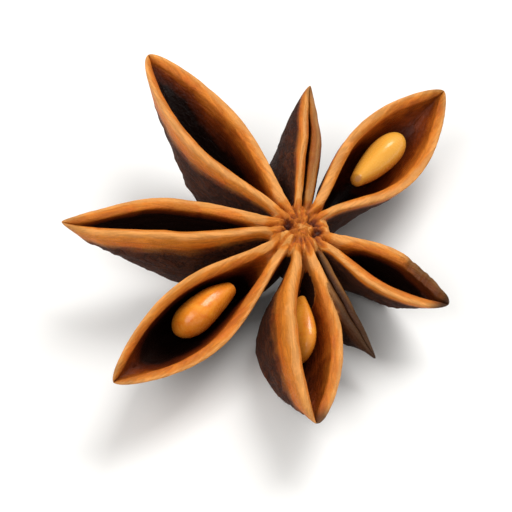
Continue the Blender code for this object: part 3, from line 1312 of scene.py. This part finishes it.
@dataclass(frozen=True)
class SeedFinish:
    """The hard seed coat, with faint veins along it and a pale scar where it was held."""

    coat: Colour = (242, 146, 34)
    deep: Colour = (222, 112, 20)
    pale: Colour = (248, 180, 72)
    scar: Colour = (216, 158, 96)
    golden: Colour = (234, 172, 66)
    grain: Triple = (0.5, 1.6, 5.0)
    vein: float = 0.35
    scar_edge: Point = (0.15, 0.6)
    roughness: float = 0.2
    speck_roughness: float = 0.1
    specular: float = 0.35
    gloss: float = 0.25
    gloss_roughness: float = 0.12
    relief_strength: float = 0.12
    relief_depth: float = 0.00005

    def material(self, grain: bpy.types.NodeTree) -> bpy.types.Material:
        """The seed coat's material.

        Args:
            grain: the shared node group of fibres and specks.

        Returns:
            A material that reads the seed's traits.
        """
        made, tree, shader = bare_material("seed_coat")
        pattern = tree.grain(grain, self.grain)
        colour = tree.mix(pattern["Blotch"], linear(self.coat), linear(self.deep))
        colour = tree.mix(tree.maths("MULTIPLY", pattern["Fibre"], self.vein), colour, linear(self.pale))
        colour = tree.mix(tree.trait(Trait.RIPE).outputs["Fac"], colour, linear(self.golden))
        held = tree.ramp(tree.trait(Trait.SCAR).outputs["Fac"], *self.scar_edge)
        tree.tree.links.new(tree.mix(held, colour, linear(self.scar)), shader.inputs["Base Color"])
        rough = tree.maths("MULTIPLY_ADD", pattern["Speck"], self.speck_roughness, self.roughness)
        tree.tree.links.new(rough, shader.inputs["Roughness"])
        shader.inputs["Specular IOR Level"].default_value = self.specular
        shader.inputs["Coat Weight"].default_value = self.gloss
        shader.inputs["Coat Roughness"].default_value = self.gloss_roughness
        normal = tree.bump(pattern["Speck"], self.relief_strength, self.relief_depth)
        tree.tree.links.new(normal, shader.inputs["Normal"])
        return made


@dataclass(frozen=True)
class FloorFinish:
    """The pale, plain surface under the pod."""

    colour: Colour = (244, 243, 240)
    roughness: float = 0.6

    def material(self) -> bpy.types.Material:
        """The floor's material.

        Returns:
            A material of one pale colour.
        """
        made, _, shader = bare_material("floor")
        shader.inputs["Base Color"].default_value = linear(self.colour)
        shader.inputs["Roughness"].default_value = self.roughness
        return made


@dataclass(frozen=True)
class Softbox:
    """A square lamp that looks at the pod: where it stands, its side and its power."""

    name: str
    azimuth: float
    elevation: float
    distance: float
    side: float
    power: float


@dataclass(frozen=True)
class Studio:
    """The floor, the soft light and the camera, which sees the pod as the photograph does."""

    elevation: float = 52.0
    distance: float = 0.40
    view_width: float = 0.0385
    nearest: float = 0.01
    target: Triple = (0.0, -0.2, 4.6)
    floor_side: float = 3.0
    sky: float = 0.5
    sky_colour: Colour = (255, 255, 255)
    lamps: tuple[Softbox, ...] = (
        Softbox("key", azimuth=145.0, elevation=52.0, distance=0.5, side=0.28, power=1.8),
        Softbox("front", azimuth=-50.0, elevation=46.0, distance=0.6, side=0.5, power=2.1),
    )

    @staticmethod
    def direction(azimuth: float, elevation: float) -> Vector:
        """The way from the pod to something seen at these angles; azimuth 0 is in front, 90 at the right."""
        turn, tilt = math.radians(azimuth), math.radians(elevation)
        return Vector((math.sin(turn) * math.cos(tilt), -math.cos(turn) * math.cos(tilt), math.sin(tilt)))

    def aim(self, thing: bpy.types.Object, back: Vector, distance: float) -> None:
        """Stands a lamp or the camera off along back, looking at the target."""
        thing.location = Vector(self.target) * MM + back * distance
        thing.rotation_euler = (-back).to_track_quat("-Z", "Y").to_euler()

    def build_floor(self) -> bpy.types.Object:
        """Builds the floor.

        Returns:
            The floor as an object, still bare.
        """
        ground = bmesh.new()
        bmesh.ops.create_grid(ground, x_segments=1, y_segments=1, size=0.5 * self.floor_side)
        return as_object(ground, "floor")

    def dress(self, floor: bpy.types.Object, finish: FloorFinish) -> None:
        """Gives the floor its finish."""
        floor.data.materials.append(finish.material())

    def light(self) -> None:
        """Hangs the pale sky and the lamps."""
        world = bpy.data.worlds.new("sky")
        world.use_nodes = True
        background = world.node_tree.nodes["Background"]
        background.inputs["Color"].default_value = linear(self.sky_colour)
        background.inputs["Strength"].default_value = self.sky
        bpy.context.scene.world = world
        for lamp in self.lamps:
            light = bpy.data.lights.new(lamp.name, "AREA")
            light.size = lamp.side
            light.energy = lamp.power
            made = bpy.data.objects.new(lamp.name, light)
            bpy.context.scene.collection.objects.link(made)
            self.aim(made, self.direction(lamp.azimuth, lamp.elevation), lamp.distance)

    def set_camera(self) -> None:
        """Stands the camera where the photograph was taken from."""
        scene = bpy.context.scene
        camera = bpy.data.objects.new("camera", bpy.data.cameras.new("camera"))
        scene.collection.objects.link(camera)
        camera.data.lens = camera.data.sensor_width * self.distance / self.view_width
        camera.data.clip_start = self.nearest
        self.aim(camera, self.direction(0.0, self.elevation), self.distance)
        scene.camera = camera
        scene.view_settings.view_transform = "Standard"


# glow, shade and slot set how far painted light reaches down each cavity and how soon painted shade takes
# over.
FOLLICLES = (
    Follicle("right_upper", azimuth=51.6, length=18.0, rise=1.0, lean=20.0, mouth=3.0, body=2.9, depth=6.8,
             widest=0.54, sway=-0.5, glow=2.2, slot=1.1, bands=(1.1, 0.9)),
    # Its right wall's low brightness is partly painted shade.
    Follicle("top", azimuth=84.0, length=13.7, rise=0.0, lean=24.0, mouth=0.7, body=1.9, depth=7.0,
             widest=0.52, bend=0.045, fresh_and_lit=(0.92, 0.5), bands=(0.5, 0.5)),
    Follicle("left_upper", azimuth=127.9, length=19.1, rise=1.0, lean=6.0, mouth=2.6, body=2.7, depth=7.6,
             widest=0.55, sway=0.15, blunt=0.36, glow=2.1, shade=1.9, slot=1.0, bands=(1.6, 1.0),
             tip_dark=(0.0, 0.0)),
    Follicle("left", azimuth=181.8, length=17.9, rise=0.0, lean=8.0, mouth=2.0, body=2.4, depth=6.8,
             widest=0.52, hook=-0.08, glow=1.6, shade=5.0, slot=0.5, bands=(1.6, 1.0)),
    Follicle("left_lower", azimuth=226.9, length=20.0, rise=-6.0, lean=-24.0, mouth=2.85, body=2.8, depth=7.3,
             widest=0.57, sway=0.35, glow=1.2, bands=(1.3, 1.0)),
    Follicle("front", azimuth=274.0, length=17.7, rise=-3.0, lean=-28.0, mouth=2.35, body=2.9, depth=7.2,
             widest=0.50, sway=0.6, blunt=0.27, tip_dark=(0.85, 0.2), glow=1.5, slot=0.4, bands=(0.6, 2.1)),
    # Its low brightness is partly its weathering and partly painted shade.
    Follicle("front_right", azimuth=299.8, length=11.6, rise=-10.0, lean=-25.0, mouth=0.6, body=1.15,
             depth=4.6, widest=0.50, hook=-0.05, bend=0.02, fresh_and_lit=(0.06, 0.06), seam=0.4,
             husk=Husk(keel_fall=1.9)),
    Follicle("right_lower", azimuth=330.4, length=12.8, rise=0.0, lean=14.0, mouth=1.7, body=1.9, depth=6.2,
             widest=0.58, sway=0.2, blunt=0.32, tip_dark=(0.95, 0.95), glow=1.1, shade=1.8, slot=0.3,
             bands=(1.0, 0.7), tear=Tear(Side.LEFT, start=0.57, end=0.985, depth=0.7)),
)


def seeds_of(follicles: tuple[Follicle, ...]) -> list[Seed]:
    """Lays the seeds that show in their follicles.

    Args:
        follicles: the pod's follicles.

    Returns:
        The three seeds.
    """
    by_name = {follicle.name: follicle for follicle in follicles}
    return [
        Seed("seed_right_upper", by_name["right_upper"], out=10.3, aside=0.05, sunk=1.9, half_thickness=1.15,
             ripeness=0.8),
        Seed("seed_left_lower", by_name["left_lower"], out=9.3, aside=-0.1, sunk=2.4, half_thickness=1.25,
             ripeness=0.0),
        Seed("seed_front", by_name["front"], out=7.7, aside=0.35, sunk=2.7, half_thickness=0.9,
             ripeness=0.15),
    ]


def main() -> None:
    logging.basicConfig(level=logging.INFO, format="%(name)s: %(message)s")
    grain = Grain().group()
    studio = Studio()
    studio.dress(studio.build_floor(), FloorFinish())
    studio.light()
    studio.set_camera()
    pod = Pod(FOLLICLES)
    pod.dress(pod.build(), WoodFinish().material(grain))
    coat = SeedFinish().material(grain)
    for seed in seeds_of(FOLLICLES):
        seed.dress(seed.build(pod.stance), coat)


if __name__ == "__main__":
    main()
